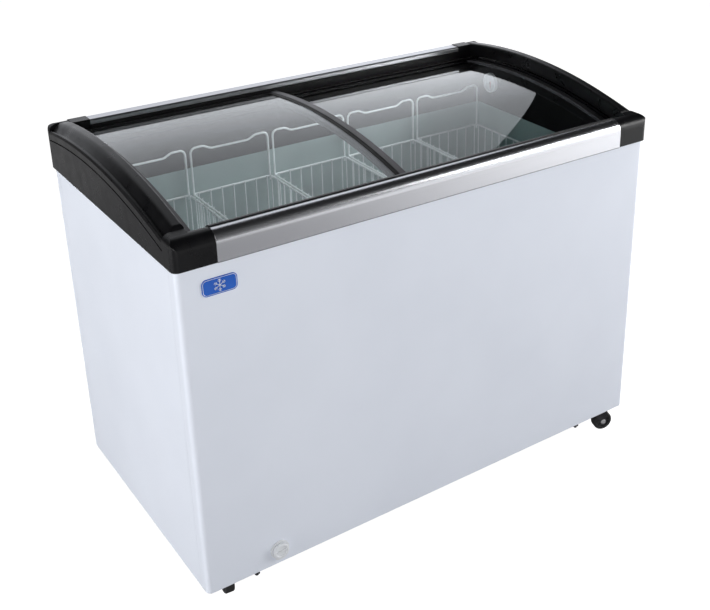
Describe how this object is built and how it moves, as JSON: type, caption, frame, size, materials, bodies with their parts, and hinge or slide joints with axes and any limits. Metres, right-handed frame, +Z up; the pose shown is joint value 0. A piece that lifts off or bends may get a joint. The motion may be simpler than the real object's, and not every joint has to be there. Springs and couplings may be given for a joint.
{
  "type": "chest freezer",
  "caption": "White chest freezer with a curved glass top of two sliding lids, dark end caps, bright rails, wire baskets and casters.",
  "frame": {"origin": "on the floor under the middle of the cabinet", "axes": "+X to the right along the long side, +Y to the rear, +Z up"},
  "size_m": [1.16, 0.652, 0.906],
  "materials": {
    "cabinet_steel": "satin white powder coat",
    "base_steel": "galvanised grey",
    "foam": "rigid foam",
    "liner_sheet": "pale embossed sheet",
    "collar_plastic": "dark moulded",
    "cap_plastic": "fine satin moulded",
    "rail_aluminium": "satin anodised",
    "track_plastic": "black extruded",
    "badge_plate": "gloss blue",
    "white_plastic": "white moulded",
    "copper_tube": "drawn tube",
    "compressor_black": "black enamel",
    "rubber_foot": "matte",
    "fin_aluminium": "mill finish",
    "motor_steel": "zinc plated",
    "grille_steel": "white powder coat",
    "dial_face": "printed face",
    "needle_red": "matte",
    "lens_clear": "clear",
    "zinc_steel": "black zinc plated",
    "wheel_rubber": "black moulded",
    "lid_glass": "clear tempered",
    "lid_trim_plastic": "dark grey moulded",
    "basket_wire": "white plastic coated wire"
  },
  "bodies": {
    "cabinet": {"front_panel": "cabinet_steel", "rear_panel": "cabinet_steel", "left_side_panel": "cabinet_steel", "right_side_panel": "cabinet_steel", "base_pan": "base_steel", "foam_insulation": "foam", "inner_liner": "liner_sheet", "collar": "collar_plastic", "end_cap_left": "cap_plastic", "end_cap_right": "cap_plastic", "crown_cover_left": "cap_plastic", "crown_cover_right": "cap_plastic", "front_rail": "rail_aluminium", "front_track": "track_plastic", "rear_rail": "rail_aluminium", "rear_track": "track_plastic", "rear_end_blocks": "cap_plastic", "badge": "badge_plate", "drain_surround": "white_plastic", "drain_tube": "white_plastic", "evaporator_coil": "copper_tube", "machine_bulkhead": "base_steel", "compressor": "compressor_black", "compressor_mounts": "rubber_foot", "condenser": "fin_aluminium", "fan_motor": "motor_steel", "machine_grille": "grille_steel", "thermostat": "compressor_black", "cord_gland": "track_plastic", "thermometer_bezel": "white_plastic", "thermometer_dial": "dial_face", "thermometer_lens": "lens_clear", "caster_plates": "zinc_steel", "caster_bolts": "zinc_steel", "levelling_studs": "zinc_steel"},
    "upper_lid": {"upper_lid_glass": "lid_glass", "upper_lid_left_trim": "lid_trim_plastic", "upper_lid_right_trim": "lid_trim_plastic", "upper_lid_runners": "track_plastic"},
    "lower_lid": {"lower_lid_glass": "lid_glass", "lower_lid_left_trim": "lid_trim_plastic", "lower_lid_right_trim": "lid_trim_plastic", "lower_lid_runners": "track_plastic"},
    "basket_1_body": {"basket_1": "basket_wire"},
    "basket_2_body": {"basket_2": "basket_wire"},
    "basket_3_body": {"basket_3": "basket_wire"},
    "basket_4_body": {"basket_4": "basket_wire"},
    "basket_5_body": {"basket_5": "basket_wire"},
    "fork_front_left": {"caster_fork_front_left": "zinc_steel"},
    "wheel_front_left": {"caster_wheel_front_left": "wheel_rubber"},
    "fork_front_right": {"caster_fork_front_right": "zinc_steel"},
    "wheel_front_right": {"caster_wheel_front_right": "wheel_rubber"},
    "fork_rear_left": {"caster_fork_rear_left": "zinc_steel"},
    "wheel_rear_left": {"caster_wheel_rear_left": "wheel_rubber"},
    "fork_rear_right": {"caster_fork_rear_right": "zinc_steel"},
    "wheel_rear_right": {"caster_wheel_rear_right": "wheel_rubber"},
    "drain_plug_body": {"drain_plug": "white_plastic"},
    "knob": {"thermostat_knob": "white_plastic"},
    "needle": {"thermometer_needle": "needle_red"},
    "fan": {"fan_blade": "fin_aluminium"}
  },
  "joints": [
    {"name": "upper_lid_slide", "type": "slide", "parent": "cabinet", "child": "upper_lid", "axis": [1, 0, 0], "range_m": [0, 0.578]},
    {"name": "lower_lid_slide", "type": "slide", "parent": "cabinet", "child": "lower_lid", "axis": [-1, 0, 0], "range_m": [0, 0.458]},
    {"name": "basket_1_lift", "type": "slide", "parent": "cabinet", "child": "basket_1_body", "axis": [0, 0, 1], "range_m": [0, 0.013]},
    {"name": "basket_2_lift", "type": "slide", "parent": "cabinet", "child": "basket_2_body", "axis": [0, 0, 1], "range_m": [0, 0.013]},
    {"name": "basket_3_lift", "type": "slide", "parent": "cabinet", "child": "basket_3_body", "axis": [0, 0, 1], "range_m": [0, 0.013]},
    {"name": "basket_4_lift", "type": "slide", "parent": "cabinet", "child": "basket_4_body", "axis": [0, 0, 1], "range_m": [0, 0.013]},
    {"name": "basket_5_lift", "type": "slide", "parent": "cabinet", "child": "basket_5_body", "axis": [0, 0, 1], "range_m": [0, 0.013]},
    {"name": "swivel_front_left", "type": "hinge", "parent": "cabinet", "child": "fork_front_left", "pos_m": [-0.51, -0.277, 0.06], "axis": [0, 0, 1], "continuous": true},
    {"name": "roll_front_left", "type": "hinge", "parent": "fork_front_left", "child": "wheel_front_left", "pos_m": [-0.50773, -0.2511, 0.025], "axis": [-0.9962, 0.0872, 0], "continuous": true},
    {"name": "swivel_front_right", "type": "hinge", "parent": "cabinet", "child": "fork_front_right", "pos_m": [0.51, -0.277, 0.06], "axis": [0, 0, 1], "continuous": true},
    {"name": "roll_front_right", "type": "hinge", "parent": "fork_front_right", "child": "wheel_front_right", "pos_m": [0.53473, -0.28503, 0.025], "axis": [0.309, 0.9511, 0], "continuous": true},
    {"name": "swivel_rear_left", "type": "hinge", "parent": "cabinet", "child": "fork_rear_left", "pos_m": [-0.51, 0.277, 0.06], "axis": [0, 0, 1], "continuous": true},
    {"name": "roll_rear_left", "type": "hinge", "parent": "fork_rear_left", "child": "wheel_rear_left", "pos_m": [-0.4887, 0.29191, 0.025], "axis": [-0.5736, 0.8192, 0], "continuous": true},
    {"name": "swivel_rear_right", "type": "hinge", "parent": "cabinet", "child": "fork_rear_right", "pos_m": [0.51, 0.277, 0.06], "axis": [0, 0, 1], "continuous": true},
    {"name": "roll_rear_right", "type": "hinge", "parent": "fork_rear_right", "child": "wheel_rear_right", "pos_m": [0.52221, 0.29996, 0.025], "axis": [-0.8829, 0.4695, 0], "continuous": true},
    {"name": "drain_plug_pull", "type": "slide", "parent": "cabinet", "child": "drain_plug_body", "axis": [0, -1, 0], "range_m": [0, 0.03]},
    {"name": "thermostat_turn", "type": "hinge", "parent": "cabinet", "child": "knob", "pos_m": [0.337, 0.32, 0.205], "axis": [0, 1, 0], "range_deg": [-135, 135]},
    {"name": "needle_swing", "type": "hinge", "parent": "cabinet", "child": "needle", "pos_m": [0.516, 0.173, 0.812], "axis": [1, 0, 0], "range_deg": [-110, 110]},
    {"name": "fan_spin", "type": "hinge", "parent": "cabinet", "child": "fan", "pos_m": [0.44, 0.157, 0.19], "axis": [0, 1, 0], "continuous": true}
  ]
}
